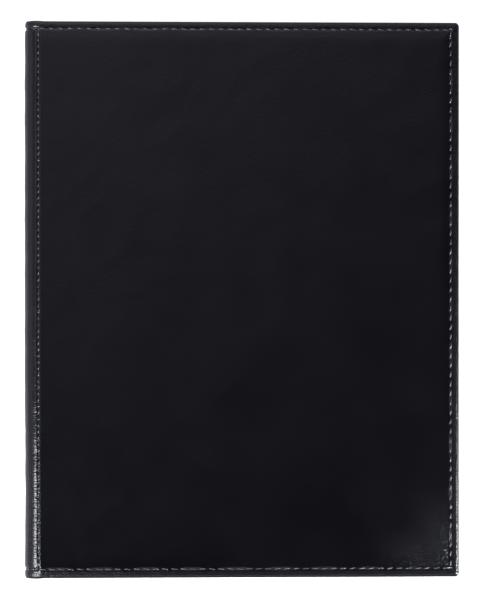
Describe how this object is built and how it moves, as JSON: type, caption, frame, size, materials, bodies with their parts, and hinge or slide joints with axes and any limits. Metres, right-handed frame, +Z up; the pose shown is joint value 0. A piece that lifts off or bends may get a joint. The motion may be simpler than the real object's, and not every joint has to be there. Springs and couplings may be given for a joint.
{
  "type": "notebook cover",
  "caption": "Padded leather cover for a composition notebook: two stitched boards on a soft rounded spine, with an inner sleeve in each; opens flat.",
  "frame": {"origin": "middle of the closed cover's footprint, on the surface that its back cover lies on", "axes": "+X from the spine to the fore edge, +Y from tail to head, +Z up, out of the front cover"},
  "size_m": [0.2034, 0.26, 0.02],
  "materials": {
    "leather": "black, smooth, semi-gloss",
    "thread": "bonded black thread, slight shine",
    "lining": "black twill, matt",
    "padding": "thin foam, hidden",
    "board": "grey binder's board, hidden",
    "stiffener": "thin card, hidden"
  },
  "bodies": {
    "back_cover": {"back_leather": "leather", "back_padding": "padding", "back_board": "board", "back_lining": "lining", "back_sleeve": "leather", "back_edge_stitching": "thread", "back_hinge_stitching": "thread", "back_sleeve_stitching": "thread"},
    "lower_spine": {"spine_leather_lower": "leather", "spine_lining_lower": "lining", "spine_tail_stitching_lower": "thread", "spine_head_stitching_lower": "thread"},
    "middle_spine": {"spine_leather_middle": "leather", "spine_lining_middle": "lining", "spine_tail_stitching_middle": "thread", "spine_head_stitching_middle": "thread", "spine_stiffener": "stiffener"},
    "upper_spine": {"spine_leather_upper": "leather", "spine_lining_upper": "lining", "spine_tail_stitching_upper": "thread", "spine_head_stitching_upper": "thread"},
    "front_cover": {"front_leather": "leather", "front_padding": "padding", "front_board": "board", "front_lining": "lining", "front_sleeve": "leather", "front_edge_stitching": "thread", "front_hinge_stitching": "thread", "front_sleeve_stitching": "thread"}
  },
  "joints": [
    {"name": "back_hinge", "type": "hinge", "parent": "back_cover", "child": "lower_spine", "pos_m": [-0.09765, 0, 0.00107], "axis": [0, -1, 0], "range_deg": [0, 45]},
    {"name": "lower_spine_fold", "type": "hinge", "parent": "lower_spine", "child": "middle_spine", "pos_m": [-0.101, 0, 0.00443], "axis": [0, -1, 0], "range_deg": [0, 45]},
    {"name": "upper_spine_fold", "type": "hinge", "parent": "middle_spine", "child": "upper_spine", "pos_m": [-0.101, 0, 0.01577], "axis": [0, -1, 0], "range_deg": [0, 45]},
    {"name": "front_hinge", "type": "hinge", "parent": "upper_spine", "child": "front_cover", "pos_m": [-0.09765, 0, 0.01913], "axis": [0, -1, 0], "range_deg": [0, 47.72]}
  ]
}
